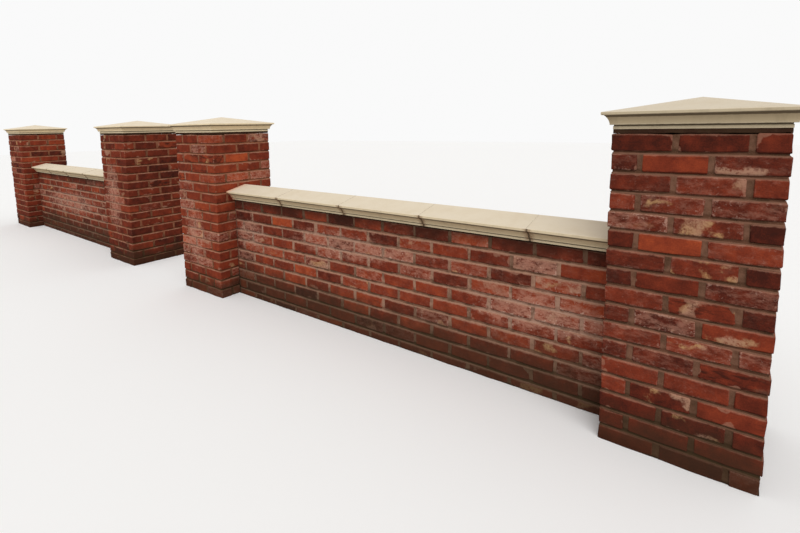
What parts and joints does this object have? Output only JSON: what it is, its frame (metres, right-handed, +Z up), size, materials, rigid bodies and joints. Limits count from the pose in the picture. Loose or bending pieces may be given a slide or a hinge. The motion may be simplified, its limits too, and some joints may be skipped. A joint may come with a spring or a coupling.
{
  "type": "brick garden wall",
  "caption": "Low brick garden wall in two panels between square brick piers, with moulded cast-stone copings, low pyramid caps and an open gateway.",
  "frame": {"origin": "centre of the wall's footprint, at the foot of the brickwork, inside the gateway", "axes": "+X along the wall, to the right seen from the street; +Y into the garden; +Z up"},
  "size_m": [8.688, 0.618, 1.453],
  "materials": {
    "brickwork": "weathered facing brick with recessed mortar",
    "bed_mortar": "rough sand and cement mortar",
    "cast_stone": "matt buff cast stone"
  },
  "bodies": {
    "root": {"pier_1_shaft": "brickwork", "pier_1_cap_bed": "bed_mortar", "pier_1_cap": "cast_stone", "pier_2_shaft": "brickwork", "pier_2_cap_bed": "bed_mortar", "pier_2_cap": "cast_stone", "pier_3_shaft": "brickwork", "pier_3_cap_bed": "bed_mortar", "pier_3_cap": "cast_stone", "pier_4_shaft": "brickwork", "pier_4_cap_bed": "bed_mortar", "pier_4_cap": "cast_stone", "left_panel": "brickwork", "left_coping_mortar": "bed_mortar", "left_coping_1": "cast_stone", "left_coping_2": "cast_stone", "left_coping_3": "cast_stone", "left_coping_4": "cast_stone", "left_coping_5": "cast_stone", "right_panel": "brickwork", "right_coping_mortar": "bed_mortar", "right_coping_1": "cast_stone", "right_coping_2": "cast_stone", "right_coping_3": "cast_stone", "right_coping_4": "cast_stone", "right_coping_5": "cast_stone"}
  },
  "joints": []
}
